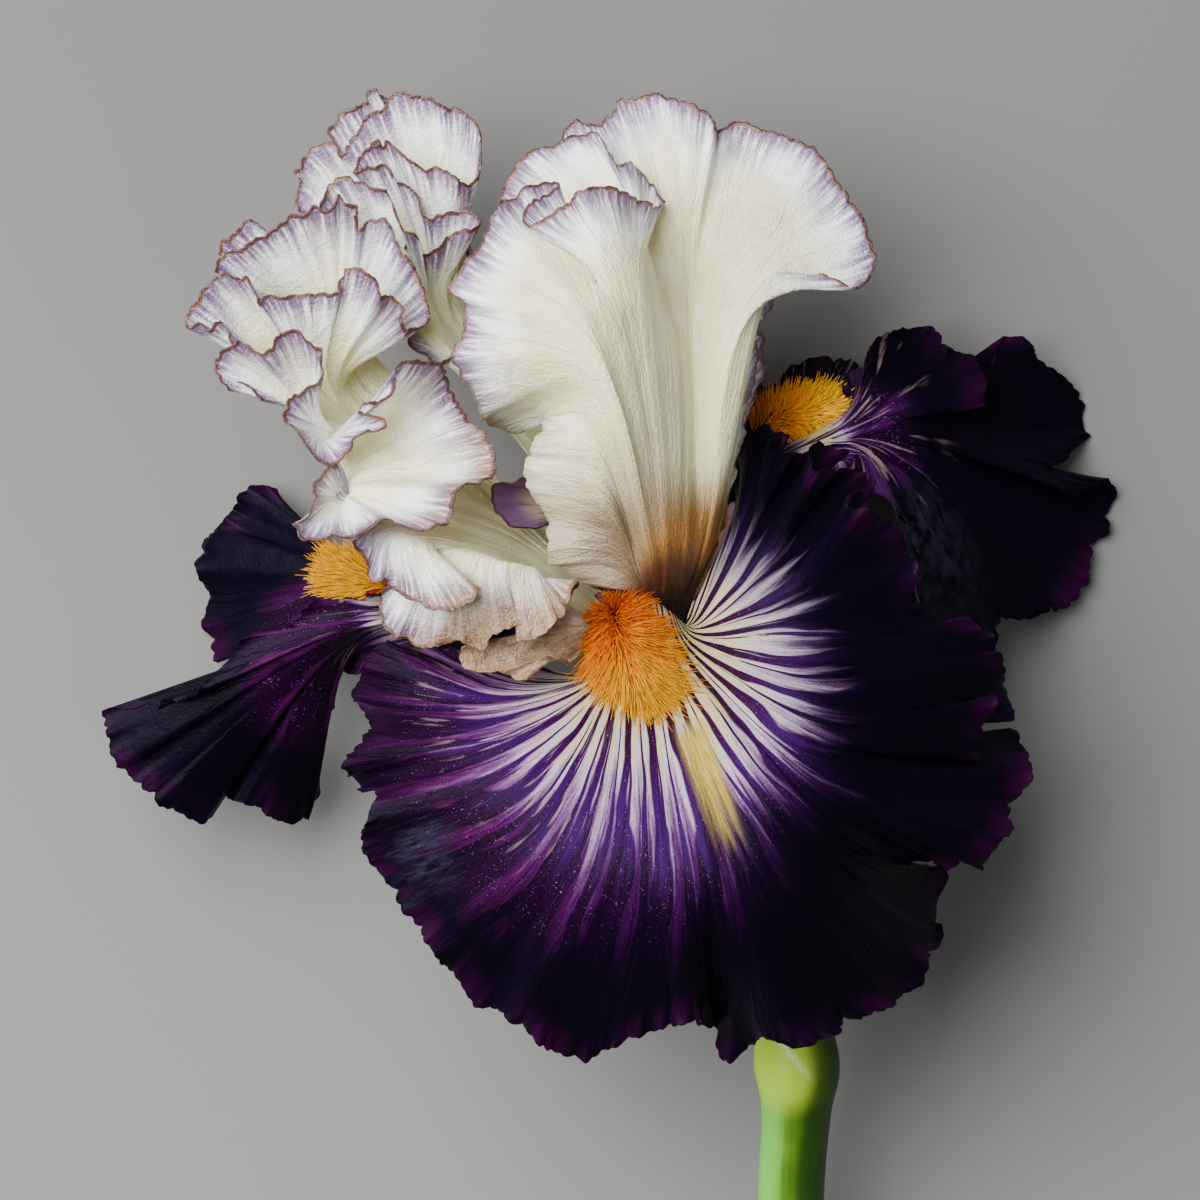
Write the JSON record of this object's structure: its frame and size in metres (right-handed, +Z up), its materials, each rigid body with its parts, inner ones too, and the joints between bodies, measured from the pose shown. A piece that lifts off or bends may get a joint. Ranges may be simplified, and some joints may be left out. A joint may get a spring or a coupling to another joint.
{
  "type": "bearded iris flower",
  "caption": "Bearded iris bloom in white and dark purple on its cut stem, lying down with its open front falls toward the viewer.",
  "frame": {"origin": "middle of the footprint, on the surface the flower lies on", "axes": "+Z up, out of the surface it lies on; +Y along the stem from its cut end toward the bloom; +X to the right of someone who looks down on it with the stem toward them"},
  "size_m": [0.1576, 0.216, 0.0726],
  "materials": {
    "stem": "waxy green stem skin",
    "fall": "velvety purple petal",
    "standard": "soft white petal, translucent",
    "style": "soft amber petal tissue",
    "beard": "matte orange bristles",
    "anther": "matte cream pollen"
  },
  "bodies": {
    "root": {"stem": "stem", "fall_front": "fall", "fall_left": "fall", "fall_right": "fall", "standard_left": "standard", "standard_right": "standard", "standard_rear": "standard", "style_front": "style", "style_left": "style", "style_right": "style", "beard_front": "beard", "beard_left": "beard", "beard_right": "beard", "stamen_front": "anther", "stamen_left": "anther", "stamen_right": "anther"}
  },
  "joints": []
}
